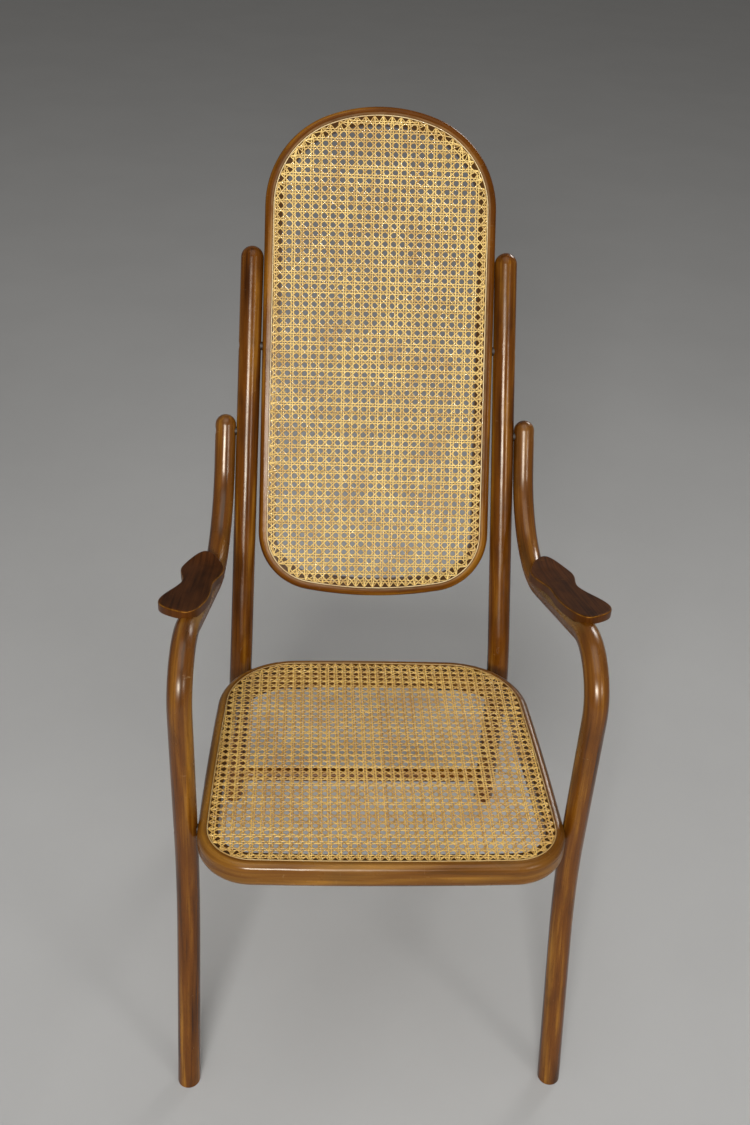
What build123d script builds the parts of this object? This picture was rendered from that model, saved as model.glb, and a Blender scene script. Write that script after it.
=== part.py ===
from build123d import *
import os
from math import cos, radians, sin, sqrt, tan

# Folding bentwood armchair with a cane seat and a tall cane back.
# Millimetres, Z up, the chair faces -Y. Right is +X, and left mirrors it.
# Y is measured from the middle of the seat until the last step.

# Posts, which are also the rear legs
post_dia = 34.0
post_top_z = 968.0
post_top_half = 190.5
knee_z = 372.0
knee_half = 203.5
knee_radius = 180.0
rear_foot_half = 227.0
back_recline = 25.5
rear_leg_rake = 17.6

# Arm rods, which are also the front legs
rod_dia = 31.4
leg_bend_z = 320.0
leg_bend_radius = 700.0
leg_rake = 14.4
arm_corner_z = 718.0
arm_slope = 21.8
knuckle_radius = 70.0
dip_radius = 160.0
arm_pivot_z = 719.0
arm_end_above_pivot = 25.0
arm_post_gap = 0.5

# Seat ring
seat_z = 431.0
seat_slope = 3.7
seat_depth = 458.0
seat_front_half = 240.5
seat_rear_half = 223.5
seat_front_bow = 5.0
seat_side_bow = 4.0
seat_rear_bow = 6.0
seat_front_corner = 74.0
seat_rear_corner = 115.0
seat_ring_width = 27.0
seat_ring_thick = 38.0
seat_top_round = 10.0
seat_bottom_round = 14.0
seat_wood_border = 12.0
seat_pivot_setback = 93.0
seat_leg_gap = 1.0
seat_post_gap = 2.5

# Back panel ring
back_pivot_z = 835.0
back_top_above_pivot = 352.0
back_bottom_below_pivot = 380.0
back_side_lean = 0.5
back_arch_radius = 230.0
back_shoulder_radius = 141.0
back_base_radius = 600.0
back_corner_radius = 90.0
back_ring_width = 26.0
back_ring_thick = 22.0
back_round = 7.0
back_wood_border = 12.0
back_post_gap = 1.5

# Cane sheets and the binding over their edges
cane_thick = 1.6
cane_clearance = 0.2
cane_gap_pitch = 35.0
cane_gap_dia = 19.5
binding_width = 3.0
binding_thick = 1.0
ring_inner_round = 3.0

# Arm pads
pad_thick = 12.0
pad_seat_height = 12.0
pad_length = 288.0
pad_front_setback = 90.0
pad_front_out = 40.0
pad_waist_out = 29.0
pad_rear_out = 39.0
pad_inner = 15.0
pad_front_nose = 8.0
pad_front_lobe = 33.0
pad_waist = 150.0
pad_rear_lobe = 248.0
pad_rear_nose = 14.0
pad_edge_round = 2.5
pad_screw_spread = 130.0
pad_screw_forward = 35.0
pad_screw_bite = 8.0

# Rail under the seat's rear, stretcher and the seat's hooks
rail_dia = 24.0
rail_tenon_dia = 16.0
stretcher_dia = 24.0
stretcher_tenon_dia = 15.0
stretcher_z = 72.0
tenon_length = 15.0
hook_half = 112.0
hook_width = 26.0
hook_thick = 3.0
hook_lip = 14.0
hook_gap = 0.3
hook_flat_length = 26.0
hook_screw_inset = 7.0
bar_screw_bite = 4.0

# Pivot hardware, with bolt heads sunk below the round of the wood
bolt_dia = 8.0
bolt_head_dia = 12.0
bolt_head_height = 4.0
bolt_head_round = 0.8
bolt_grip = 21.0
spacer_dia = 13.0
spot_depth = 1.2
spot_margin = 0.4
run_clearance = 0.05
side_play = 0.1

# Wood screws
screw_dia = 4.0
screw_head_dia = 8.0
screw_head_height = 2.2
hook_screw_length = 22.0
screw_fit = 0.05

# Block under the floor that trims the feet level
below_floor = 60.0
floor_block_side = 2000.0

post_r = post_dia / 2
rod_r = rod_dia / 2
recline = radians(back_recline)
slope = radians(arm_slope)
tilt = radians(seat_slope)


def bend(before, corner, after, radius):
    """Start, middle and end of the arc that rounds a corner."""
    back_way = (before - corner).normalized()
    on_way = (after - corner).normalized()
    half = radians(back_way.get_angle(on_way)) / 2
    reach = radius / tan(half)
    inward = (back_way + on_way).normalized()
    middle = corner + inward * (radius / sin(half) - radius)
    return corner + back_way * reach, middle, corner + on_way * reach


def bent_path(points, radii):
    """Straight runs joined by arcs, as a steamed rod is bent."""
    edges = []
    start = points[0]
    for before, corner, after, radius in zip(points, points[1:], points[2:], radii):
        first, middle, last = bend(before, corner, after, radius)
        edges += [Line(start, first), ThreePointArc(first, middle, last)]
        start = last
    return Wire(edges + [Line(start, points[-1])])


def bent_rod(path, radius):
    """Round rod along a path, with a dome on the path's end."""
    rod = sweep(Plane(origin=path @ 0, z_dir=path % 0) * Circle(radius), path=path)
    dome = Plane(origin=path @ 1, z_dir=path % 1) * Sphere(radius, arc_size1=0, align=None)
    return rod + dome


def x_rod(start, end, y, z, dia):
    """Cylinder along X between two places."""
    place = Plane(origin=(start, y, z), z_dir=(1 if end > start else -1, 0, 0))
    return place * Cylinder(dia / 2, abs(end - start), align=(Align.CENTER, Align.CENTER, Align.MIN))


def seat_of(radius, dia):
    """Distance from a round rod's axis to a flat that seats a disc."""
    return sqrt(radius**2 - (dia / 2 + spot_margin) ** 2)


def ring_disc(start, end, y, z, dia):
    """Spacer around a pivot bolt."""
    return x_rod(start, end, y, z, dia) - x_rod(start, end, y, z, bolt_dia + 2 * run_clearance)


def pivot_bolt(under_head, tip, y, z):
    """Bolt along X with a domed head on its outer side."""
    head = x_rod(under_head, under_head + bolt_head_height, y, z, bolt_head_dia)
    head = fillet(head.edges().sort_by(Axis.X)[-1], bolt_head_round)
    return head + x_rod(under_head, tip, y, z, bolt_dia)


def wood_screw(place, length, fit=0.0):
    """Countersunk screw that goes in along the plane's Z from its origin."""
    low = (Align.CENTER, Align.CENTER, Align.MIN)
    head = Cone(screw_head_dia / 2 + fit, screw_dia / 2 + fit, screw_head_height, align=low)
    return place * (head + Cylinder(screw_dia / 2 + fit, length + fit, align=low))


def mirrored(solid):
    return mirror(solid, about=Plane.YZ)


def both(solid):
    return [solid, mirrored(solid)]


floor_cut = Pos(0, 0, -below_floor) * Box(floor_block_side, floor_block_side, 2 * below_floor)

# Post axis: foot, knee and top, with the knee just behind the seat
knee_bend_y = seat_depth / 2 + seat_post_gap + post_r
top_run = post_top_z - knee_z


def post_corners(knee_y):
    foot = Vector(rear_foot_half, knee_y + knee_z * tan(radians(rear_leg_rake)), 0)
    knee = Vector(knee_half, knee_y, knee_z)
    top = Vector(post_top_half, knee_y + top_run * tan(recline), post_top_z)
    return foot, knee, top


knee_set = bend(*post_corners(0), knee_radius)[1].Y
foot, knee, post_top = post_corners(knee_bend_y - knee_set)
knee_middle = bend(foot, knee, post_top, knee_radius)[1]
leg_way = (foot - knee).normalized()
post_way = (post_top - knee).normalized()


def on_post(z):
    """Point of the post's straight upper run at a height."""
    return knee + (post_top - knee) * ((z - knee_z) / top_run)


def on_rear_leg(z):
    return foot + (knee - foot) * (z / knee_z)


# Seat outline in its own plane, with its top at zero
half_depth = seat_depth / 2
seat_mid_half = (seat_front_half + seat_rear_half) / 2 + seat_side_bow


def seat_face(inset=0.0):
    """Seat outline, or a line that runs inside it."""
    front = (seat_front_half - inset, seat_front_bow + inset - half_depth)
    rear = (seat_rear_half - inset, half_depth - seat_rear_bow - inset)
    side = seat_mid_half - inset
    end = half_depth - inset
    edges = [
        ThreePointArc((-front[0], front[1]), (0, -end), front),
        ThreePointArc(front, (side, 0), rear),
        ThreePointArc(rear, (0, end), (-rear[0], rear[1])),
        ThreePointArc((-rear[0], rear[1]), (-side, 0), (-front[0], front[1])),
    ]
    face = make_face(edges)
    face = fillet(face.vertices().group_by(Axis.Y)[0], seat_front_corner - inset)
    return fillet(face.vertices().group_by(Axis.Y)[-1], seat_rear_corner - inset)


seat_plane = Plane(origin=(0, 0, seat_z), x_dir=(1, 0, 0), z_dir=(0, sin(tilt), cos(tilt)))
seat_pivot_y = seat_pivot_setback - half_depth
seat_strip = Pos(0, seat_pivot_y) * Rectangle(2 * (seat_front_half + seat_side_bow), spot_margin)
seat_half = (seat_face() & seat_strip).bounding_box().max.X


def cane_gaps(face, width):
    """Round gaps of the cane in a square grid, clear of the ring under its edge."""
    clear = face(width + cane_gap_dia / 2).face()
    room = clear.bounding_box()
    counts = [int(size / cane_gap_pitch) + 1 for size in (room.size.X, room.size.Y)]
    spots = [Pos(room.center()) * spot for spot in GridLocations(cane_gap_pitch, cane_gap_pitch, *counts)]
    return [spot * Circle(cane_gap_dia / 2) for spot in spots if clear.is_inside(spot.position)]


def caned_ring(face, width, thick, border, top_round, bottom_round):
    """Rounded bent ring with its cane sheet let into the top, and the binding."""
    ring = extrude(face(), -thick)
    ring = fillet(ring.faces().sort_by(Axis.Z)[-1].edges(), top_round)
    ring = fillet(ring.faces().sort_by(Axis.Z)[0].edges(), bottom_round)
    ring -= extrude(face(width), -thick)
    ring -= extrude(face(border), -cane_thick)
    under = ring.faces().filter_by(Axis.Z).sort_by(Axis.Z)[0]
    ring = fillet(under.inner_wires()[0].edges(), ring_inner_round)
    edge = border + cane_clearance
    cane = extrude(face(edge) - cane_gaps(face, width), -cane_thick)
    binding = extrude(face(edge), binding_thick) - extrude(face(edge + binding_width), binding_thick)
    return ring, cane, binding


seat_ring, seat_cane, seat_binding = caned_ring(
    seat_face, seat_ring_width, seat_ring_thick, seat_wood_border, seat_top_round, seat_bottom_round
)

# Hooks under the seat's rear and the rail that they drop over
rail_r = rail_dia / 2
strap_low = -seat_ring_thick - hook_thick
rail_local_z = strap_low - hook_gap - rail_r
rail_local_y = (knee_middle.Y - rail_local_z * sin(tilt)) / cos(tilt)
rail_z = seat_plane.from_local_coords(Vector(0, rail_local_y, rail_local_z)).Z
rail_y = knee_middle.Y
strap_start = half_depth - hook_flat_length
lip_front = rail_local_y + rail_r + hook_gap
strap_length = lip_front + hook_thick - strap_start
low_corner = (Align.CENTER, Align.MIN, Align.MIN)
strap = Box(hook_width, strap_length, hook_thick, align=low_corner)
lip = Box(hook_width, hook_thick, hook_lip + hook_thick, align=low_corner)
hook = Pos(hook_half, strap_start, strap_low) * strap
hook += Pos(hook_half, lip_front, strap_low - hook_lip) * lip
hook_screws = []
hook_screw_cuts = []
for screw_y in (strap_start + hook_screw_inset, half_depth - hook_screw_inset):
    screw_place = Plane(origin=(hook_half, screw_y, strap_low), z_dir=(0, 0, 1))
    hook_screws += both(wood_screw(screw_place, hook_screw_length))
    hook_screw_cuts += both(wood_screw(screw_place, hook_screw_length, screw_fit))
hooks = both(hook)

# Pivot of the arm rod on the post, and of the seat on the rod
arm_pivot = on_post(arm_pivot_z)
seat_pivot = seat_plane.from_local_coords(Vector(0, seat_pivot_y, -seat_ring_thick / 2))
rod_half_top = arm_pivot.X + post_r + rod_r + arm_post_gap
rod_half_seat = seat_half + seat_leg_gap + rod_r
toe_in = (rod_half_seat - rod_half_top) / (arm_pivot.Y - seat_pivot.Y)


def on_rod(y, z):
    """Point of the upright plane that the bent rod lies in."""
    return Vector(rod_half_top + toe_in * (arm_pivot.Y - y), y, z)


# Corners of the rod's bends, from the floor to the domed end
leg_y = seat_pivot.Y
rake_run = tan(radians(leg_rake))
dip_rise = arm_corner_z + leg_y * tan(slope) - arm_pivot.Z
dip_y = (arm_pivot.Y + dip_rise * tan(recline)) / (1 + tan(slope) * tan(recline))
dip_z = arm_corner_z - (dip_y - leg_y) * tan(slope)
end_run = arm_end_above_pivot - rod_r
rod_corners = [
    on_rod(leg_y - (leg_bend_z + below_floor) * rake_run, -below_floor),
    on_rod(leg_y, leg_bend_z),
    on_rod(leg_y, arm_corner_z),
    on_rod(dip_y, dip_z),
    on_rod(arm_pivot.Y + end_run * sin(recline), arm_pivot.Z + end_run * cos(recline)),
]
rod_path = bent_path(rod_corners, [leg_bend_radius, knuckle_radius, dip_radius])
rod = bent_rod(rod_path, rod_r) - floor_cut

# Arm pad: a board that follows the arm, trimmed to its outline from above
arm_corner, dip_corner, rod_end = rod_corners[2:]
dip_start, dip_middle, dip_end = bend(arm_corner, dip_corner, rod_end, dip_radius)
board_path = Wire([Line(arm_corner, dip_start), ThreePointArc(dip_start, dip_middle, dip_end)])
board_plane = Plane(origin=board_path @ 0, x_dir=(-1, -toe_in, 0), z_dir=board_path % 0)
board_middle = pad_seat_height + pad_thick / 2
board_width = 2 * (pad_front_out + pad_rear_out)
board = sweep(board_plane * Pos(0, board_middle) * Rectangle(board_width, pad_thick), path=board_path)
pad_front_y = leg_y + pad_front_setback
pad_points = [
    (pad_front_nose, 0),
    (pad_front_out, pad_front_lobe),
    (pad_waist_out, pad_waist),
    (pad_rear_out, pad_rear_lobe),
    (pad_rear_nose, pad_length),
    (-pad_inner, pad_rear_lobe),
    (-pad_inner, pad_waist),
    (-pad_inner, pad_front_lobe),
]
pad_spots = []
for out, along in pad_points:
    spot = on_rod(pad_front_y + along, 0)
    pad_spots.append((spot.X + out, spot.Y))
pad_outline = make_face(Spline(pad_spots, periodic=True))
pad = board & extrude(pad_outline, arm_corner_z + board_middle)
pad = fillet(pad.faces().sort_by(Axis.Z)[-1].edges(), pad_edge_round)
rod -= pad

pad_screws = []
arm_up = Vector(0, sin(slope), cos(slope))
for step in (-1, 1):
    screw_y = pad_front_y + pad_waist + step * pad_screw_spread / 2 - pad_screw_forward
    screw_z = arm_corner_z - (screw_y - leg_y) * tan(slope)
    screw_place = Plane(origin=on_rod(screw_y, screw_z) - arm_up * rod_r, z_dir=arm_up)
    pad_screw_length = rod_r + pad_seat_height + pad_screw_bite
    pad_screws += both(wood_screw(screw_place, pad_screw_length))
    screw_cut = wood_screw(screw_place, pad_screw_length, screw_fit)
    rod -= screw_cut
    pad -= screw_cut

# Back panel outline in its own plane, with its pivot at zero and Y up the slope
back_pivot = on_post(back_pivot_z)
back_plane = Plane(
    origin=(0, back_pivot.Y, back_pivot.Z), x_dir=(1, 0, 0), z_dir=(0, -cos(recline), sin(recline))
)
back_half = back_pivot.X - post_r - back_post_gap
side_lean = tan(radians(back_side_lean))


def back_corners(inset=0.0):
    """Corners between the sides and the arched top and base."""
    top = back_top_above_pivot - inset
    base = back_bottom_below_pivot - inset
    arch_x = back_half - back_top_above_pivot * side_lean - inset
    base_x = back_half + back_bottom_below_pivot * side_lean - inset
    arch_r = back_arch_radius - inset
    base_r = back_base_radius - inset
    arch_y = top - arch_r + sqrt(arch_r**2 - arch_x**2)
    base_y = base_r - base - sqrt(base_r**2 - base_x**2)
    return (arch_x, arch_y), (base_x, base_y)


def back_face(inset=0.0):
    """Back outline, or a line that runs inside it."""
    arch, base = back_corners(inset)
    top = (0, back_top_above_pivot - inset)
    bottom = (0, inset - back_bottom_below_pivot)
    edges = [
        ThreePointArc((-arch[0], arch[1]), top, arch),
        Line(arch, base),
        ThreePointArc(base, bottom, (-base[0], base[1])),
        Line((-base[0], base[1]), (-arch[0], arch[1])),
    ]
    face = make_face(edges)
    face = fillet(face.vertices().group_by(Axis.Y)[-1], back_shoulder_radius - inset)
    return fillet(face.vertices().group_by(Axis.Y)[0], back_corner_radius - inset)


back_parts = caned_ring(
    back_face, back_ring_width, back_ring_thick, back_wood_border, back_round, back_round
)
back_ring, back_cane, back_binding = [
    back_plane * Pos(0, 0, back_ring_thick / 2) * piece for piece in back_parts
]
(arch_x, arch_y), (base_x, base_y) = back_corners()
back_side = base_x + (arch_x - base_x) * (-base_y) / (arch_y - base_y)

seat_ring, seat_cane, seat_binding = [seat_plane * piece for piece in (seat_ring, seat_cane, seat_binding)]
hooks = [seat_plane * piece for piece in hooks]
hook_screws = [seat_plane * piece for piece in hook_screws]
for screw_cut in hook_screw_cuts:
    seat_ring -= seat_plane * screw_cut
    hooks = [piece - seat_plane * screw_cut for piece in hooks]

# Posts with their domed tops
post_path = bent_path([foot + leg_way * below_floor, knee, post_top - post_way * post_r], [knee_radius])
post = bent_rod(post_path, post_r) - floor_cut

# Rail and stretcher, tenoned into flats on the posts and locked by screws
def cross_bar(joint, dia, tenon_dia):
    """Bar between the posts, the cut that seats it, its screw and the screw's cut."""
    shoulder = joint.X - seat_of(post_r, dia)
    end = shoulder + tenon_length
    bar = x_rod(-shoulder, shoulder, joint.Y, joint.Z, dia)
    bar += x_rod(-end, end, joint.Y, joint.Z, tenon_dia)
    cut = x_rod(shoulder, shoulder - post_dia, joint.Y, joint.Z, dia + 2 * spot_margin)
    cut += x_rod(shoulder, end + screw_fit, joint.Y, joint.Z, tenon_dia + 2 * screw_fit)
    place = Plane(origin=(shoulder + tenon_length / 2, joint.Y + post_r, joint.Z), z_dir=(0, -1, 0))
    length = post_r + bar_screw_bite
    return bar, cut, wood_screw(place, length), wood_screw(place, length, screw_fit)


rail_joint = Vector(knee_middle.X, rail_y, rail_z)
rail, rail_cut, rail_screw, rail_screw_cut = cross_bar(rail_joint, rail_dia, rail_tenon_dia)
stretcher, stretcher_cut, stretcher_screw, stretcher_screw_cut = cross_bar(
    on_rear_leg(stretcher_z), stretcher_dia, stretcher_tenon_dia
)
post -= rail_cut + stretcher_cut
for screw_cut in (rail_screw_cut, stretcher_screw_cut):
    post -= screw_cut
for screw_cut in both(rail_screw_cut):
    rail -= screw_cut
for screw_cut in both(stretcher_screw_cut):
    stretcher -= screw_cut
bar_screws = both(rail_screw) + both(stretcher_screw)


def head_seat(axis, radius):
    """Place on a rod's far side where a sunk bolt head bears."""
    return axis + seat_of(radius, bolt_head_dia) - bolt_head_height


def pivot_set(inner_flat, outer_in, outer_out, y, z):
    """Spacer, bolt and bore of a pivot along X on the right side."""
    tip = inner_flat - bolt_grip
    under_head = outer_out + side_play
    spacer = ring_disc(inner_flat, outer_in, y, z, spacer_dia)
    bolt = pivot_bolt(under_head, tip, y, z)
    bore = x_rod(under_head, tip - side_play, y, z, bolt_dia + 2 * run_clearance)
    return both(spacer), both(bolt), bore


def spot_cut(start, way, y, z, dia):
    """Cut that leaves a flat for a disc on the side that faces the way given."""
    return x_rod(start, start + way * post_dia, y, z, dia + 2 * spot_margin)


# Arm pivot: the bolt is fast in the post, and the rod turns on it
post_flat = arm_pivot.X + seat_of(post_r, spacer_dia)
rod_in = rod_half_top - seat_of(rod_r, spacer_dia)
rod_out = head_seat(rod_half_top, rod_r)
arm_spacers, arm_bolts, arm_bore = pivot_set(post_flat, rod_in, rod_out, arm_pivot.Y, arm_pivot.Z)
post -= arm_bore + spot_cut(post_flat, 1, arm_pivot.Y, arm_pivot.Z, spacer_dia)
rod -= arm_bore + spot_cut(rod_out, 1, arm_pivot.Y, arm_pivot.Z, bolt_head_dia)
rod -= spot_cut(rod_in, -1, arm_pivot.Y, arm_pivot.Z, spacer_dia)

# Seat pivot: the bolt is fast in the front leg, and the seat turns on it
seat_flat = seat_half - spot_depth
leg_in = rod_half_seat - seat_of(rod_r, spacer_dia)
leg_out = head_seat(rod_half_seat, rod_r)
seat_spacers, seat_bolts, seat_bore = pivot_set(seat_flat, leg_in, leg_out, seat_pivot.Y, seat_pivot.Z)
rod -= seat_bore + spot_cut(leg_out, 1, seat_pivot.Y, seat_pivot.Z, bolt_head_dia)
rod -= spot_cut(leg_in, -1, seat_pivot.Y, seat_pivot.Z, spacer_dia)
seat_cut = seat_bore + spot_cut(seat_flat, 1, seat_pivot.Y, seat_pivot.Z, spacer_dia)
for cut in both(seat_cut):
    seat_ring -= cut

# Back pivot: the bolt is fast in the panel, and turns in the post
panel_flat = back_side - spot_depth
post_in = back_pivot.X - seat_of(post_r, spacer_dia)
post_out = head_seat(back_pivot.X, post_r)
back_spacers, back_bolts, back_bore = pivot_set(panel_flat, post_in, post_out, back_pivot.Y, back_pivot.Z)
post -= back_bore + spot_cut(post_out, 1, back_pivot.Y, back_pivot.Z, bolt_head_dia)
post -= spot_cut(post_in, -1, back_pivot.Y, back_pivot.Z, spacer_dia)
back_cut = back_bore + spot_cut(panel_flat, 1, back_pivot.Y, back_pivot.Z, spacer_dia)
for cut in both(back_cut):
    back_ring -= cut

nodes = {
    "left_post": [mirrored(post)],
    "right_post": [post],
    "seat_rest_rail": [rail],
    "rear_stretcher": [stretcher],
    "bar_screws": bar_screws,
    "arm_pivot_bolts": arm_bolts,
    "arm_pivot_spacers": arm_spacers,
    "left_arm_leg": [mirrored(rod)],
    "right_arm_leg": [rod],
    "left_arm_pad": [mirrored(pad)],
    "right_arm_pad": [pad],
    "arm_pad_screws": pad_screws,
    "seat_pivot_bolts": seat_bolts,
    "seat_pivot_spacers": seat_spacers,
    "seat_frame": [seat_ring],
    "seat_cane": [seat_cane],
    "seat_cane_binding": [seat_binding],
    "seat_hooks": hooks,
    "seat_hook_screws": hook_screws,
    "back_frame": [back_ring],
    "back_cane": [back_cane],
    "back_cane_binding": [back_binding],
    "back_pivot_bolts": back_bolts,
    "back_pivot_spacers": back_spacers,
}

# The origin goes to the middle of the whole box, on the floor
solids = [solid for pieces in nodes.values() for piece in pieces for solid in piece.solids()]
box = Compound(solids).bounding_box()
to_origin = Pos(0, -box.center().Y, 0)
os.makedirs("parts", exist_ok=True)
for name, pieces in nodes.items():
    moved = [to_origin * solid for piece in pieces for solid in piece.solids()]
    export_step(moved[0] if len(moved) == 1 else Compound(moved), f"parts/{name}.step")

for name, point in (("arm", arm_pivot), ("seat", seat_pivot), ("back", back_pivot)):
    print(name, "pivot height", round(point.Z, 3), "and depth", round(point.Y - box.center().Y, 3))
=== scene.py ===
import bpy
import numpy as np
from mathutils import Matrix, Vector
from mathutils.geometry import convex_hull_2d


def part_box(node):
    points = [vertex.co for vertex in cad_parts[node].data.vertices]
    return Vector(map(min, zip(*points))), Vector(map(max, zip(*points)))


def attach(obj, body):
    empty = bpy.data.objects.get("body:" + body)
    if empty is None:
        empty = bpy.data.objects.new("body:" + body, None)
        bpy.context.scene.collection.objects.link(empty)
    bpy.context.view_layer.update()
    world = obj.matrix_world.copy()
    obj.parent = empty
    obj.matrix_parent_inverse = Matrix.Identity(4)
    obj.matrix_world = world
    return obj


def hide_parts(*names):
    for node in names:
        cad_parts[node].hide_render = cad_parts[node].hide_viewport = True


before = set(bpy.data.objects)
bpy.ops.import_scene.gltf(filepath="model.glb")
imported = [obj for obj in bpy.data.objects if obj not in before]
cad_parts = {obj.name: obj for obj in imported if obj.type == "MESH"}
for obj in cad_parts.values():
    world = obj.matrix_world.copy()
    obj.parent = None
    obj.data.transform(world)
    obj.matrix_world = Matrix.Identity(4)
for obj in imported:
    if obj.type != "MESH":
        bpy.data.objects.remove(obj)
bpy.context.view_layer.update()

# Looks of a folding bentwood armchair with a cane seat and a tall cane back.
# Metres, Z up, the chair faces -Y. Colours are linear red, green and blue.

# Camera: its place, its focal length in pixels, and its turns in degrees
CAMERA_PLACE = (-0.1097, -1.5164, 1.6567)
CAMERA_FOCAL = 1276.1
CAMERA_PITCH = 34.21
CAMERA_YAW = 3.95
CAMERA_ROLL = 3.09
IMAGE_LONG_SIDE = 1125
SENSOR = 36.0

# Routes of the right-hand rods, as corners and the radii of their bends
POST_ROUTE = [(0.227, 0.1632, 0.0), (0.2035, 0.0452, 0.372), (0.1905, 0.3294, 0.968)]
POST_BENDS = [0.18]
ARM_ROUTE = [
    (0.2613, -0.4243, -0.06),
    (0.2564, -0.3268, 0.32),
    (0.2564, -0.3268, 0.718),
    (0.2335, 0.1242, 0.5376),
    (0.2289, 0.2147, 0.7274),
]
ARM_BENDS = [0.7, 0.07, 0.16]
BEND_STEPS = 24

# Cane: pitch across and along each panel, and how many pairs of strands lie each way
SEAT_PITCH = (0.0125, 0.0125)
SEAT_PAIRS = (36, 34)
BACK_PITCH = (0.0130, 0.01293)
BACK_PAIRS = (25, 54)
PAIR_GAP = 0.0035
STEPS_PER_PITCH = 4

# A strand: its flat section, and its waves up and down
STRAND_WIDTH = 0.0021
STRAND_CROWN = 0.0006
STRAND_BELLY = 0.00035
PAIR_WAVE = 0.00055
SLANT_WAVE = 0.0008

# Sideways stray of a strand: its size, its radians per metre and its largest start in radians
STRAND_STRAY = 0.00018
STRAY_TURN = (15, 40)
STRAY_START = 6

# Ends of a strand: they draw in to the holes over some pitches, along a curve, and wave less there
FAN_PITCHES = 1.15
FAN_CURVE = 1.3
END_WAVE = 0.25

# Slack by which edges near the middle of a corner take holes from both sets of pairs
CORNER_SLACK = 0.05

# Binding strand and its loops: inset and reach are shares of its width, rise is a share of its crown
BINDING_WIDTH = 0.0022
BINDING_CROWN = 0.0008
BINDING_TONE = 0.5
BORDER_INSET = 0.6
LOOP_WIDTH = 0.0014
LOOP_REACH = 0.55
LOOP_RISE = 1.15
LOOP_STEPS = 7

# How strands and pieces differ: each starts elsewhere in its noise, and slanting strands are darker
GRAIN_START = 50
TONE_START = 40
SLANT_TONE = 0.6

# Noise scales of the rods and rings, in waves per metre along the grain and across it both ways
STREAK = (9, 520, 520)
BROAD = (5, 70, 70)
FLECK = (130, 1500, 1500)
BLOTCH = (14, 30, 30)
SCRATCH = (420, 60, 60)
RIM_PATCH = (60, 300, 300)
UNEVEN = (28, 60, 60)

# Noise scales of the arm pads, whose grain runs from front to back
PAD_STREAK = (330, 6, 6)
PAD_PATCH = (40, 12, 12)
PAD_CHIP = (160, 60, 160)
PAD_SCRATCH = (70, 380, 70)

# Noise scales of the cane: by a strand's tone, along it and across it, and last of stains by place
CANE_MOTTLE = (0, 160, 0.6)
CANE_FIBRE = (900, 25, 9)
CANE_KNOT = (7, 22, 0)
CANE_BLOT = (17, 17, 17)

# Noise scales of the steel and the floor, and how strongly finer detail shows in every noise
STEEL_MOTTLE = (260, 260, 260)
FLOOR_MOTTLE = (3, 3, 3)
NOISE_ROUGHNESS = 0.55

# Heights between which the wood comes to look handled, paler from wear and from a painted sheen
ARM_WEAR_AND_SHEEN_HEIGHTS = (0.46, 0.72)
SEAT_WEAR_AND_SHEEN_HEIGHTS = (0.2, 0.3)

# Bands on a ring, outwards from the middle of its binding strand and up from its caned face
# The rim is paler, partly from wear and partly a painted sheen; the ledge is darkened with painted
# shade
RIM_STARTS = (0.0012, 0.0022)
RIM_ENDS = (0.0034, 0.0052)
LEDGE_ENDS = (-0.0030, -0.0005)
LEDGE_TOP = (-0.0075, -0.0050)

# Colours
WOOD_DARK = (0.020, 0.0042, 0.0003)
WOOD_MIDDLE = (0.105, 0.031, 0.0020)
WOOD_LIGHT = (0.265, 0.110, 0.010)
# Paler wood of scratches, and of a ring's rim, where it is partly a painted sheen
WOOD_WEAR_AND_SHEEN = (0.50, 0.35, 0.18)
# Paler colour of handled wood: partly wear, partly a painted sheen
WOOD_HANDLED_AND_SHEEN = (0.30, 0.150, 0.024)
# Ledge under the cane: unfinished wood, darkened further with painted shade
WOOD_LEDGE_SHADE = (0.050, 0.022, 0.006)
WOOD_SHEEN = (1.0, 0.90, 0.75, 1)
PAD_DARK = (0.020, 0.0055, 0.0013)
PAD_LIGHT = (0.080, 0.025, 0.0060)
PAD_SHEEN = (1.0, 0.80, 0.60, 1)
CANE_BACK = ((0.38, 0.20, 0.040), (0.88, 0.62, 0.20))
# Darker strand edges: painted shade in the gaps between strands
CANE_EDGE_SHADE = (0.16, 0.075, 0.016)
CANE_SEAT = ((0.30, 0.14, 0.025), (0.76, 0.49, 0.13))
CANE_STAIN = (0.40, 0.19, 0.045)
BINDING_SEAT = ((0.30, 0.17, 0.05), (0.50, 0.33, 0.12))
BINDING_BACK = ((0.44, 0.28, 0.11), (0.74, 0.57, 0.30))
STEEL = (0.035, 0.030, 0.026)
FLOOR = (0.37, 0.366, 0.358)

# Stage
FLOOR_HALF = 30.0
LAMP_TARGET = (0.0, -0.1, 0.6)
WORLD_COLOUR = (1.0, 0.98, 0.95, 1)
WORLD_STRENGTH = 0.19

SEED = 7
rng = np.random.default_rng(SEED)


def unit(vector):
    """Vector of the same direction with a length of one."""
    return vector / np.linalg.norm(vector)


def unit_rows(vectors):
    """Rows of the same directions, each with a length of one."""
    return vectors / np.linalg.norm(vectors, axis=1)[:, None]


# Routes and the grain that follows them


def bent_line(corners, radii):
    """Points along straight runs whose corners are rounded by arcs."""
    corners = [np.array(corner, float) for corner in corners]
    points = [corners[0]]
    for before, corner, after, radius in zip(corners, corners[1:], corners[2:], radii):
        back_way = unit(before - corner)
        on_way = unit(after - corner)
        half = np.arccos(np.clip(back_way @ on_way, -1, 1)) / 2
        inward = unit(back_way + on_way)
        middle = corner + inward * radius / np.sin(half)
        start = corner + back_way * radius / np.tan(half)
        across = unit(start - middle)
        turn = np.pi - 2 * half
        way = unit(-back_way - across * (-back_way @ across))
        for angle in np.linspace(0, turn, BEND_STEPS):
            points.append(middle + radius * (across * np.cos(angle) + way * np.sin(angle)))
    points.append(corners[-1])
    return np.array(points)


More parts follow.
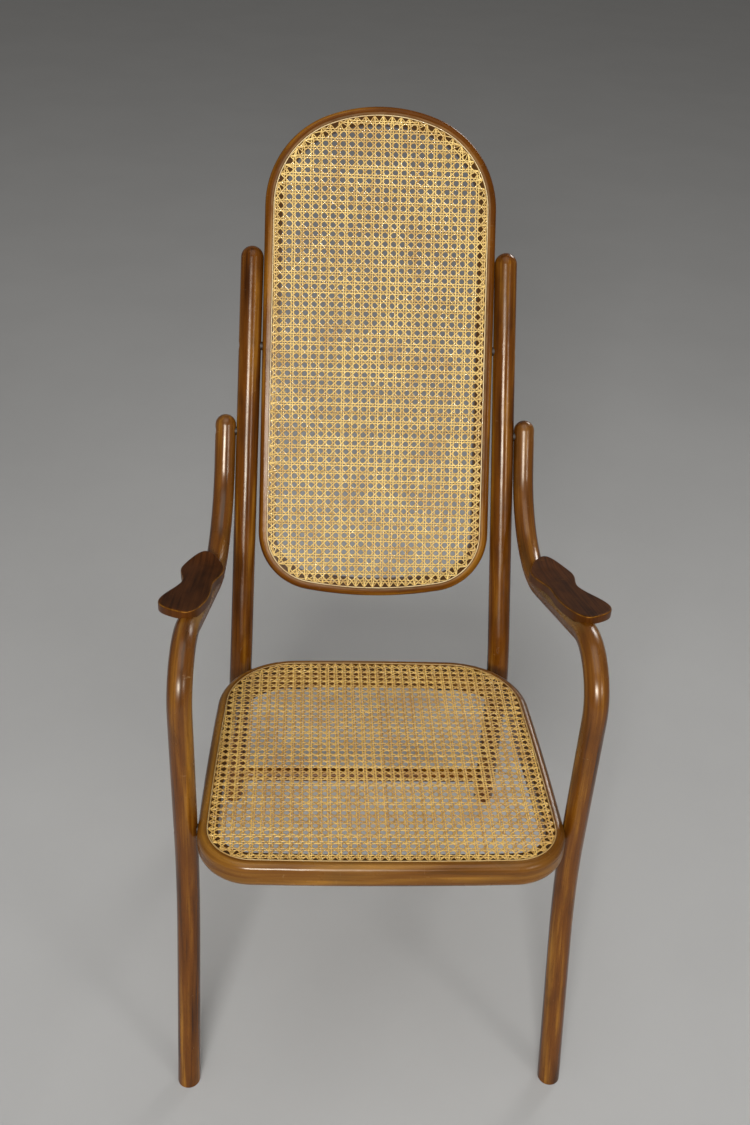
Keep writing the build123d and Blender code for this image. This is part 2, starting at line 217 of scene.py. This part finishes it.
def straightened(points, line, side, closed=False):
    """Distance along a line, height to its side and offset across it, for each point."""
    ends = np.roll(line, -1, axis=0) if closed else line[1:]
    starts = line if closed else line[:-1]
    lengths = np.linalg.norm(ends - starts, axis=1)
    runs = np.concatenate([[0], np.cumsum(lengths)[:-1]])
    nearest = np.full(len(points), np.inf)
    coords = np.zeros((len(points), 3))
    for start, end, length, run in zip(starts, ends, lengths, runs):
        way = (end - start) / length
        away = points - start
        held = np.clip(away @ way, 0, length)
        off = away - held[:, None] * way
        far = np.einsum("ij,ij->i", off, off)
        nearer = far < nearest
        nearest[nearer] = far[nearer]
        here = np.stack([run + held, off @ side, off @ np.cross(way, side)], axis=1)
        coords[nearer] = here[nearer]
    if closed:
        # Both halves of a closed line count from its start, so that the grain meets there
        half = lengths.sum() / 2
        coords[:, 0] = half - np.abs(coords[:, 0] - half)
    return coords


def vertices_of(obj):
    """Points of a mesh object, one row each."""
    points = np.zeros(len(obj.data.vertices) * 3)
    obj.data.vertices.foreach_get("co", points)
    return points.reshape(-1, 3)


def store(obj, name, values):
    """Keeps three values per point on a mesh, for its material to read."""
    attribute = obj.data.attributes.new(name, "FLOAT_VECTOR", "POINT")
    attribute.data.foreach_set("vector", np.asarray(values, np.float32).ravel())


def set_grain(node, line, side, closed=False):
    """Keeps the straightened coordinates of a CAD node for its wood."""
    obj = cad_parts[node]
    coords = straightened(vertices_of(obj), line, side, closed)
    coords[:, 0] += rng.uniform(0, GRAIN_START)
    store(obj, "grain", coords)


def set_rod_grain():
    """Grain of both posts, both arm rods and the two bars between the posts."""
    mirror = np.array([-1, 1, 1])
    for name, route, bends in (("post", POST_ROUTE, POST_BENDS), ("arm_leg", ARM_ROUTE, ARM_BENDS)):
        line = bent_line(route, bends)
        side = unit(np.cross(line[-1] - line[0], line[len(line) // 2] - line[0]))
        set_grain(f"right_{name}", line, side)
        set_grain(f"left_{name}", line * mirror, side * mirror)
    for name in ("seat_rest_rail", "rear_stretcher"):
        low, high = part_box(name)
        middle = (low + high) / 2
        line = np.array([(low.x, middle.y, middle.z), (high.x, middle.y, middle.z)])
        set_grain(name, line, np.array([0.0, 0.0, 1.0]))


def set_ring_grain(panel):
    """Grain of the ring around a cane panel."""
    line = panel.placed(panel.binding_line())
    set_grain(f"{panel.name}_frame", line, panel.normal, closed=True)


# Cane panels: each has its own plane, with Z out of the caned face


class Panel:
    """Plane and outline of a cane sheet, read from its CAD node.

    The sheet is thinnest along its normal, and its origin is the middle of its caned face.
    """

    def __init__(self, name, facing):
        self.name = name
        points = vertices_of(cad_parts[f"{name}_cane"])
        centre = (points.min(axis=0) + points.max(axis=0)) / 2
        normal = np.linalg.svd(points - points.mean(axis=0), full_matrices=False)[2][-1]
        normal *= np.sign(normal @ facing)
        x_way = np.array([1.0, 0.0, 0.0])
        self.axes = np.stack([x_way, np.cross(normal, x_way), normal], axis=1)
        top = ((points - centre) @ normal).max()
        self.origin = centre + normal * top
        local = (points - self.origin) @ self.axes
        micron_digits = 6
        flat = np.unique(local[:, :2].round(micron_digits), axis=0)
        rim = flat[convex_hull_2d(flat.tolist())]
        self.outline = rim[np.argsort(np.arctan2(rim[:, 1], rim[:, 0]))]
        self.normal = normal

    def placed(self, local):
        """Points of the panel's own plane, in the chair's frame."""
        return local @ self.axes.T + self.origin

    def inset(self, distance):
        """Outline moved inwards."""
        ways = np.roll(self.outline, -1, axis=0) - self.outline
        normals = unit_rows(np.stack([-ways[:, 1], ways[:, 0]], axis=1))
        at_points = unit_rows(normals + np.roll(normals, 1, axis=0))
        return self.outline + at_points * distance

    def binding_line(self):
        """Middle of the binding strand, on the caned face."""
        flat = self.inset(BINDING_WIDTH / 2)
        return np.column_stack([flat, np.zeros(len(flat))])


def chord(outline, start, way):
    """Where a line enters and leaves a convex outline, and the normals of the edges there."""
    edges = np.roll(outline, -1, axis=0) - outline
    normals = unit_rows(np.stack([edges[:, 1], -edges[:, 0]], axis=1))
    room = np.einsum("ij,ij->i", outline - start, normals)
    speed = normals @ way
    parallel = 1e-9
    leaving = speed > parallel
    entering = speed < -parallel
    if np.any(room[~leaving & ~entering] < 0):
        return None
    reach = np.divide(room, speed, out=np.zeros_like(room), where=leaving | entering)
    enter = np.where(entering, reach, -np.inf).argmax()
    leave = np.where(leaving, reach, np.inf).argmin()
    if reach[enter] >= reach[leave]:
        return None
    return reach[enter], reach[leave], normals[enter], normals[leave]


class Tubes:
    """Gathers strands of lens-shaped section into one mesh.

    Each point keeps its strand's tone, its distance along the strand and its side of it.
    """

    def __init__(self):
        self.points = []
        self.faces = []
        self.tones = []
        self.count = 0

    def add(self, line, side, width, crown, belly, tone, closed=False):
        """One strand along a line of points, lying flat on the XY plane of its panel."""
        up = np.array([0.0, 0.0, 1.0])
        edge = side * width / 2
        rings = [line - edge, line + up * crown, line + edge, line - up * belly]
        across = np.array([-1, 0, 1, 0])
        corners = np.arange(len(rings))
        steps = len(line)
        first = self.count + np.arange(steps) * len(rings)
        low = first if closed else first[:-1]
        high = np.roll(first, -1) if closed else first[1:]
        for corner, after in zip(corners, np.roll(corners, -1)):
            quads = [low + corner, high + corner, high + after, low + after]
            self.faces.append(np.stack(quads, axis=1))
        if not closed:
            self.faces.append(np.array([first[0] + corners, first[-1] + corners[::-1]]))
        self.points.append(np.stack(rings, axis=1).reshape(-1, 3))
        along = np.concatenate([[0], np.cumsum(np.linalg.norm(np.diff(line, axis=0), axis=1))])
        tones = np.zeros((steps, len(rings), 3))
        tones[..., 0] = tone
        tones[..., 1] = along[:, None] + tone * TONE_START
        tones[..., 2] = across
        self.tones.append(tones.reshape(-1, 3))
        self.count += steps * len(rings)

    def build(self, panel, name, material, body, replaced):
        """Mesh object of the strands, riding on a body in place of a CAD node."""
        points = panel.placed(np.concatenate(self.points))
        faces = np.concatenate(self.faces).tolist()
        mesh = bpy.data.meshes.new(name)
        mesh.from_pydata(points, [], faces)
        mesh.shade_smooth()
        mesh.materials.append(material)
        obj = bpy.data.objects.new(name, mesh)
        bpy.context.scene.collection.objects.link(obj)
        store(obj, "strand", np.concatenate(self.tones))
        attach(obj, body)
        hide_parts(replaced)


def border_holes(outline, pitch, pairs):
    """Places on the border where the strands go down into the ring."""
    holes = []
    for axis in (0, 1):
        way = np.eye(2)[1 - axis]
        for step in range(pairs[axis]):
            start = np.eye(2)[axis] * (step - (pairs[axis] - 1) / 2) * pitch[axis]
            cut = chord(outline, start, way)
            if cut is None:
                continue
            for reach, normal in zip(cut[:2], cut[2:]):
                if abs(normal[1 - axis]) >= abs(normal[axis]) - CORNER_SLACK:
                    holes.append(start + way * reach)
    return np.array(holes)


def strand_line(outline, holes, start, way, step, height, fan):
    """Points of a strand: straight between its ends, which draw in to the nearest holes."""
    cut = chord(outline, start, way)
    if cut is None or cut[1] - cut[0] < 2 * fan:
        return None
    low, high = cut[:2]
    spots = np.arange(np.ceil(low / step), np.floor(high / step) + 1) * step
    inner = (spots > low + step / 2) & (spots < high - step / 2)
    spots = np.concatenate([[low], spots[inner], [high]])
    flat = start + spots[:, None] * way
    wave = np.ones(len(spots))
    for end in (low, high):
        tip = start + end * way
        hole = holes[np.argmin(np.linalg.norm(holes - tip, axis=1))]
        near = np.clip(1 - np.abs(spots - end) / fan, 0, 1)
        flat += near[:, None] ** FAN_CURVE * (hole - tip)
        wave *= 1 - near
    across = np.array([-way[1], way[0]])
    shift = rng.normal(0, STRAND_STRAY)
    turn = rng.uniform(*STRAY_TURN)
    stray = shift + STRAND_STRAY * np.sin(spots * turn + rng.uniform(0, STRAY_START))
    flat += (stray * wave)[:, None] * across
    heights = height(flat) * (END_WAVE + (1 - END_WAVE) * wave)
    return np.column_stack([flat, heights])


def weave(panel, pitch, pairs, body, material, binding_material):
    """Six-way cane: upright pairs, cross pairs, two sets of slanting strands and the binding."""
    border = panel.inset(BINDING_WIDTH * BORDER_INSET)
    holes = border_holes(border, pitch, pairs)
    shifts = [(count - 1) / 2 % 1 for count in pairs]
    fan = FAN_PITCHES * (sum(pitch) / 2)
    middle = -(STRAND_BELLY + PAIR_WAVE)
    cane_node = f"{panel.name}_cane"

    def phase(flat, axis):
        return 2 * np.pi * (flat[:, axis] / pitch[axis] - shifts[axis])

    def lay(name, strands, tones=1):
        tubes = Tubes()
        for start, way, step, height in strands:
            line = strand_line(border, holes, start, way, step, height, fan)
            if line is not None:
                line[:, 2] += middle
                across = np.array([-way[1], way[0], 0])
                tone = rng.uniform() * tones
                tubes.add(line, across, STRAND_WIDTH, STRAND_CROWN, STRAND_BELLY, tone)
        tubes.build(panel, f"{cane_node}_{name}", material, body, cane_node)

    def pair_strands(axis):
        along = 1 - axis
        way = np.eye(2)[along]
        for index in range(pairs[axis]):
            for hand in (-1, 1):
                start = np.zeros(2)
                start[axis] = (index - (pairs[axis] - 1) / 2) * pitch[axis] + hand * PAIR_GAP / 2
                sign = -hand if axis == 0 else hand

                def height(flat, sign=sign):
                    return PAIR_WAVE * sign * np.sin(phase(flat, along))

                yield start, way, pitch[along] / STEPS_PER_PITCH, height

    def slant_strands(hand):
        way = unit(np.array([pitch[0], hand * pitch[1]]))
        step = np.hypot(*pitch) / STEPS_PER_PITCH

        def height(flat):
            return SLANT_WAVE * hand * np.cos(phase(flat, 0))

        for index in range(-sum(pairs), sum(pairs)):
            start = np.array([shifts[0] * pitch[0], (shifts[1] + index + 0.5) * pitch[1]])
            yield start, way, step, height

    lay("uprights", pair_strands(0))
    lay("crossings", pair_strands(1))
    lay("slants_rising", slant_strands(1), SLANT_TONE)
    lay("slants_falling", slant_strands(-1), SLANT_TONE)
    bind(panel, holes, body, binding_material)


def bind(panel, holes, body, material):
    """Flat binding strand over the border, tied down by a small loop at each hole."""
    tubes = Tubes()
    line = panel.binding_line()
    flat = line[:, :2]
    ways = unit_rows(np.roll(flat, -1, axis=0) - np.roll(flat, 1, axis=0))
    side = np.column_stack([ways[:, 1], -ways[:, 0], np.zeros(len(ways))])
    tubes.add(line, side, BINDING_WIDTH, BINDING_CROWN, STRAND_BELLY, BINDING_TONE, closed=True)
    arch = np.linspace(-1, 1, LOOP_STEPS)
    rise = BINDING_CROWN * LOOP_RISE * (1 - arch**2)
    for hole in holes:
        nearest = np.argmin(np.linalg.norm(flat - hole, axis=1))
        across = arch[:, None] * side[nearest, :2] * BINDING_WIDTH * LOOP_REACH
        loop = np.column_stack([hole + across, rise])
        way = np.append(ways[nearest], 0)
        tubes.add(loop, way, LOOP_WIDTH, STRAND_BELLY, STRAND_BELLY, rng.uniform())
    node = f"{panel.name}_cane_binding"
    tubes.build(panel, f"{node}_strand", material, body, node)


# Materials


def shade(colour, share):
    """Darker or lighter form of a colour."""
    return tuple(share * part for part in colour)


class Look:
    """A material, with short ways to add and join its nodes."""

    def __init__(self, name):
        self.material = bpy.data.materials.new(name)
        self.material.use_nodes = True
        self.tree = self.material.node_tree
        self.tree.nodes.clear()
        self.shader = self.tree.nodes.new("ShaderNodeBsdfPrincipled")
        output = self.tree.nodes.new("ShaderNodeOutputMaterial")
        self.join(self.shader.outputs[0], output.inputs["Surface"])

    def join(self, source, socket):
        """Links an output to a socket, or sets a plain value on it."""
        if isinstance(source, bpy.types.NodeSocket):
            self.tree.links.new(source, socket)
        elif source is not None:
            socket.default_value = source

    def set(self, **values):
        """Joins values to the shader's sockets, named with underscores for spaces."""
        for name, value in values.items():
            self.join(value, self.shader.inputs[name.replace("_", " ")])

    def attribute(self, name):
        node = self.tree.nodes.new("ShaderNodeAttribute")
        node.attribute_name = name
        return node.outputs["Vector"]

    def coordinates(self, kind):
        return self.tree.nodes.new("ShaderNodeTexCoord").outputs[kind]

    def split(self, vector):
        node = self.tree.nodes.new("ShaderNodeSeparateXYZ")
        self.join(vector, node.inputs[0])
        return node.outputs

    def scaled(self, vector, scale):
        node = self.tree.nodes.new("ShaderNodeVectorMath")
        node.operation = "MULTIPLY"
        self.join(vector, node.inputs[0])
        node.inputs[1].default_value = scale
        return node.outputs[0]

    def noise(self, vector, scale, detail, distortion=0.0):
        node = self.tree.nodes.new("ShaderNodeTexNoise")
        self.join(self.scaled(vector, scale), node.inputs["Vector"])
        node.inputs["Scale"].default_value = 1.0
        node.inputs["Detail"].default_value = detail
        node.inputs["Roughness"].default_value = NOISE_ROUGHNESS
        node.inputs["Distortion"].default_value = distortion
        return node.outputs[0]

    def math(self, operation, first, second=None):
        node = self.tree.nodes.new("ShaderNodeMath")
        node.operation = operation
        self.join(first, node.inputs[0])
        self.join(second, node.inputs[1])
        return node.outputs[0]

    def times(self, first, second):
        return self.math("MULTIPLY", first, second)

    def weighted(self, first, second, share):
        """Sum of two values, in which the first has the given share and the second has the rest."""
        return self.math("ADD", self.times(first, share), self.times(second, 1 - share))

    def range(self, value, low, high, to_low=0.0, to_high=1.0):
        """Smooth step from one range to another."""
        node = self.tree.nodes.new("ShaderNodeMapRange")
        node.interpolation_type = "SMOOTHSTEP"
        for socket, number in zip(node.inputs, (value, low, high, to_low, to_high)):
            self.join(number, socket)
        return node.outputs[0]

    def mix(self, share, first, second):
        """Colour between two colours or colour outputs."""
        node = self.tree.nodes.new("ShaderNodeMix")
        node.data_type = "RGBA"
        self.join(share, node.inputs[0])
        for value, socket in ((first, node.inputs[6]), (second, node.inputs[7])):
            self.join((*value, 1) if isinstance(value, tuple) else value, socket)
        return node.outputs[2]

    def bump(self, height, strength, distance, under=None):
        node = self.tree.nodes.new("ShaderNodeBump")
        node.inputs["Strength"].default_value = strength
        node.inputs["Distance"].default_value = distance
        self.join(height, node.inputs["Height"])
        self.join(under, node.inputs["Normal"])
        return node.outputs[0]


def varnished_wood(name, gloss, ring=False, rim_wear_and_sheen=0.0, hand_wear_and_sheen=0.0, heights=ARM_WEAR_AND_SHEEN_HEIGHTS):
    """Stained and varnished beech whose grain follows the bends."""
    look = Look(name)
    grain = look.attribute("grain")
    streak = look.noise(grain, STREAK, detail=5, distortion=0.3)
    broad = look.noise(grain, BROAD, detail=2)
    fleck = look.noise(grain, FLECK, detail=2)
    blotch = look.noise(grain, BLOTCH, detail=3)
    scratch = look.noise(grain, SCRATCH, detail=1, distortion=1.5)
    uneven = look.noise(grain, UNEVEN, detail=2)
    tone = look.weighted(streak, broad, 0.26)
    colour = look.mix(look.range(tone, 0.26, 0.50), WOOD_DARK, WOOD_MIDDLE)
    colour = look.mix(look.range(tone, 0.48, 0.72), colour, WOOD_LIGHT)
    colour = look.mix(look.range(blotch, 0.45, 0.75, 0.0, 0.45), colour, WOOD_DARK)
    colour = look.mix(look.range(fleck, 0.60, 0.72, 0.0, 0.65), colour, WOOD_DARK)
    colour = look.mix(look.range(scratch, 0.765, 0.79, 0.0, 0.2), colour, WOOD_WEAR_AND_SHEEN)
    roughness = look.range(blotch, 0.3, 0.7, 0.16, 0.26)
    # Higher up, the wood turns paler and rougher: the paler colour is partly wear and partly a painted
    # sheen
    if hand_wear_and_sheen:
        height = look.split(look.coordinates("Object"))["Z"]
        handled_and_sheen = look.times(look.range(height, *heights), look.range(broad, 0.38, 0.62, 0.35, 1.0))
        colour = look.mix(look.times(handled_and_sheen, hand_wear_and_sheen), colour, WOOD_HANDLED_AND_SHEEN)
        roughness = look.math("ADD", roughness, look.times(handled_and_sheen, 0.09))
    if ring:
        colour = ring_rim_and_ledge(look, grain, colour, rim_wear_and_sheen)
    normal = look.bump(uneven, strength=0.25, distance=0.0012)
    normal = look.bump(streak, strength=0.10, distance=0.0004, under=normal)
    look.set(Base_Color=colour, Roughness=roughness, Normal=normal)
    look.set(Specular_IOR_Level=gloss, Specular_Tint=WOOD_SHEEN)
    return look.material


def ring_rim_and_ledge(look, grain, colour, rim_wear_and_sheen):
    """Paler rim of wear and painted sheen around the cane, and painted shade on the ledge under it."""
    axes = look.split(grain)
    band = look.times(look.range(axes["Z"], *RIM_STARTS), look.range(axes["Z"], *RIM_ENDS, 1, 0))
    patchy = look.range(look.noise(grain, RIM_PATCH, detail=3), 0.35, 0.6, 0.45, 1.0)
    # The rim band is partly wear and partly a painted sheen
    worn = look.times(look.times(band, patchy), rim_wear_and_sheen)
    colour = look.mix(worn, colour, WOOD_WEAR_AND_SHEEN)
    # The ledge under the cane is darkened with painted shade
    ledge = look.times(look.range(axes["Z"], *LEDGE_ENDS, 1, 0), look.range(axes["Y"], *LEDGE_TOP))
    return look.mix(ledge, colour, WOOD_LEDGE_SHADE)


def pad_wood():
    """Darker stained board, dull on top and worn pale along its edge."""
    look = Look("arm_pad_wood")
    place = look.coordinates("Object")
    upward = look.split(look.coordinates("Normal"))["Z"]
    streak = look.noise(place, PAD_STREAK, detail=4, distortion=0.15)
    patch = look.noise(place, PAD_PATCH, detail=2)
    colour = look.mix(look.range(look.weighted(streak, patch, 0.6), 0.34, 0.66), PAD_DARK, PAD_LIGHT)
    side = look.range(upward, 0.35, 0.8, 1, 0)
    colour = look.mix(look.times(side, 0.4), colour, WOOD_MIDDLE)
    edge = look.times(look.range(upward, 0.35, 0.6), look.range(upward, 0.68, 0.86, 1, 0))
    chips = look.range(look.noise(place, PAD_CHIP, detail=3), 0.38, 0.62, 0.25, 0.9)
    colour = look.mix(look.times(edge, chips), colour, WOOD_LIGHT)
    scratch = look.noise(place, PAD_SCRATCH, detail=1, distortion=1.2)
    colour = look.mix(look.range(scratch, 0.72, 0.75, 0.0, 0.3), colour, WOOD_LIGHT)
    roughness = look.range(side, 0, 1, 0.62, 0.34)
    normal = look.bump(streak, strength=0.15, distance=0.0004)
    look.set(Base_Color=colour, Roughness=roughness, Normal=normal)
    look.set(Specular_IOR_Level=0.08, Specular_Tint=PAD_SHEEN)
    return look.material


def cane(name, colours):
    """Glossy split cane, each strand a little different."""
    look = Look(name)
    strand = look.attribute("strand")
    axes = look.split(strand)
    mottle = look.noise(strand, CANE_MOTTLE, detail=4)
    fibre = look.noise(strand, CANE_FIBRE, detail=2)
    knot = look.noise(strand, CANE_KNOT, detail=1)
    stain = look.noise(look.coordinates("Object"), CANE_BLOT, detail=4)
    dark = colours[0]
    colour = look.mix(look.range(look.weighted(axes["X"], mottle, 0.40), 0.12, 0.66), *colours)
    colour = look.mix(look.range(knot, 0.72, 0.80, 0.0, 0.5), colour, shade(dark, 0.45))
    colour = look.mix(look.range(fibre, 0.58, 0.8, 0.0, 0.25), colour, shade(dark, 0.7))
    colour = look.mix(look.range(stain, 0.46, 0.72, 0.0, 0.4), colour, CANE_STAIN)
    # Each strand darkens towards its edges: painted shade in the gaps between strands
    edge = look.range(look.math("ABSOLUTE", axes["Z"]), 0.40, 1.0, 0.0, 0.85)
    colour = look.mix(edge, colour, CANE_EDGE_SHADE)
    roughness = look.range(mottle, 0.3, 0.7, 0.30, 0.46)
    normal = look.bump(fibre, strength=0.2, distance=0.0002)
    look.set(Base_Color=colour, Roughness=roughness, Normal=normal, Coat_Weight=0.2)
    return look.material


def dark_steel():
    """Old dark steel of the bolts, spacers, screws and hooks."""
    look = Look("dark_steel")
    mottle = look.noise(look.coordinates("Object"), STEEL_MOTTLE, detail=4)
    colour = look.mix(look.range(mottle, 0.35, 0.7), STEEL, shade(STEEL, 2.2))
    roughness = look.range(mottle, 0.3, 0.7, 0.45, 0.65)
    look.set(Base_Color=colour, Roughness=roughness, Metallic=0.8)
    return look.material


def pale_floor():
    """Plain matt floor with a faint mottle."""
    look = Look("pale_floor")
    mottle = look.noise(look.coordinates("Object"), FLOOR_MOTTLE, detail=4)
    colour = look.mix(look.range(mottle, 0.3, 0.7), shade(FLOOR, 0.97), FLOOR)
    look.set(Base_Color=colour, Roughness=0.85)
    return look.material


def dress(material, *nodes):
    """Gives CAD nodes a material."""
    for name in nodes:
        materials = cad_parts[name].data.materials
        materials.clear()
        materials.append(material)


def dress_wood():
    """Wood of the posts and bars, the arm rods, the two rings and the arm pads."""
    post_wood = varnished_wood("post_wood", gloss=0.24)
    dress(post_wood, "left_post", "right_post", "seat_rest_rail", "rear_stretcher")
    arm_wood = varnished_wood("arm_wood", gloss=0.46, hand_wear_and_sheen=0.08)
    dress(arm_wood, "left_arm_leg", "right_arm_leg")
    seat_wood = varnished_wood(
        "seat_ring_wood", gloss=0.34, ring=True, hand_wear_and_sheen=0.3, heights=SEAT_WEAR_AND_SHEEN_HEIGHTS
    )
    dress(seat_wood, "seat_frame")
    back_wood = varnished_wood("back_ring_wood", gloss=0.12, ring=True, rim_wear_and_sheen=0.20)
    dress(back_wood, "back_frame")
    dress(pad_wood(), "left_arm_pad", "right_arm_pad")


def dress_fasteners():
    """Steel of everything that joins the wood."""
    endings = ("bolts", "spacers", "screws", "hooks")
    dress(dark_steel(), *[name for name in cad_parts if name.endswith(endings)])


# Stage: floor, lamps and camera


def add_floor():
    """Large square floor under the feet."""
    mesh = bpy.data.meshes.new("floor")
    low, high = -FLOOR_HALF, FLOOR_HALF
    corners = [(low, low, 0), (high, low, 0), (high, high, 0), (low, high, 0)]
    mesh.from_pydata(corners, [], [(0, 1, 2, 3)])
    mesh.materials.append(pale_floor())
    floor = bpy.data.objects.new("floor", mesh)
    bpy.context.scene.collection.objects.link(floor)


def add_lamp(name, place, width, height, power, spread=180):
    """Soft rectangular lamp that faces the chair, with its power in watts and its spread in degrees."""
    data = bpy.data.lights.new(name, "AREA")
    data.shape = "RECTANGLE"
    data.size = width
    data.size_y = height
    data.energy = power
    data.spread = np.radians(spread)
    lamp = bpy.data.objects.new(name, data)
    lamp.location = place
    lamp.visible_camera = False
    lamp.rotation_mode = "QUATERNION"
    lamp.rotation_quaternion = (Vector(LAMP_TARGET) - Vector(place)).to_track_quat("-Z", "Y")
    bpy.context.scene.collection.objects.link(lamp)


def add_light():
    """Four lamps and a dim world. The rear lamp is narrow, so it lights the chair and little floor."""
    add_lamp("key_lamp", place=(-0.75, -4.7, 2.8), width=1.6, height=0.9, power=252)
    add_lamp("fill_lamp", place=(3.0, -3.6, 2.4), width=1.0, height=0.8, power=42)
    add_lamp("top_lamp", place=(0.0, -1.0, 5.0), width=4.0, height=4.0, power=84)
    add_lamp("rear_lamp", place=(2.8, 3.9, 3.0), width=1.8, height=1.2, power=5.0, spread=40)
    world = bpy.data.worlds.new("studio")
    world.use_nodes = True
    background = world.node_tree.nodes["Background"]
    background.inputs["Color"].default_value = WORLD_COLOUR
    background.inputs["Strength"].default_value = WORLD_STRENGTH
    bpy.context.scene.world = world
    bpy.context.scene.view_settings.view_transform = "Standard"


def add_camera():
    """Camera at the photograph's place, looking down at the chair."""
    pitch, yaw, roll = np.radians([CAMERA_PITCH, CAMERA_YAW, CAMERA_ROLL])
    level = np.array([np.sin(yaw), np.cos(yaw), 0])
    right = np.array([np.cos(yaw), -np.sin(yaw), 0])
    up = np.array([0, 0, 1])
    forward = np.cos(pitch) * level - np.sin(pitch) * up
    down = -np.sin(pitch) * level - np.cos(pitch) * up
    image_right = np.cos(roll) * right - np.sin(roll) * down
    image_down = np.sin(roll) * right + np.cos(roll) * down
    turn = Matrix(np.stack([image_right, -image_down, -forward], axis=1).tolist())
    data = bpy.data.cameras.new("camera")
    data.sensor_width = SENSOR
    data.lens = CAMERA_FOCAL * SENSOR / IMAGE_LONG_SIDE
    camera = bpy.data.objects.new("camera", data)
    camera.matrix_world = Matrix.Translation(CAMERA_PLACE) @ turn.to_4x4()
    bpy.context.scene.collection.objects.link(camera)
    bpy.context.scene.camera = camera


seat = Panel("seat", (0, 0, 1))
back = Panel("back", (0, -1, 0))

set_rod_grain()
set_ring_grain(seat)
set_ring_grain(back)

dress_wood()
dress_fasteners()

seat_cane = cane("seat_cane", CANE_SEAT)
weave(seat, SEAT_PITCH, SEAT_PAIRS, "seat", seat_cane, cane("seat_binding", BINDING_SEAT))
back_cane = cane("back_cane", CANE_BACK)
weave(back, BACK_PITCH, BACK_PAIRS, "back_panel", back_cane, cane("back_binding", BINDING_BACK))

add_floor()
add_light()
add_camera()
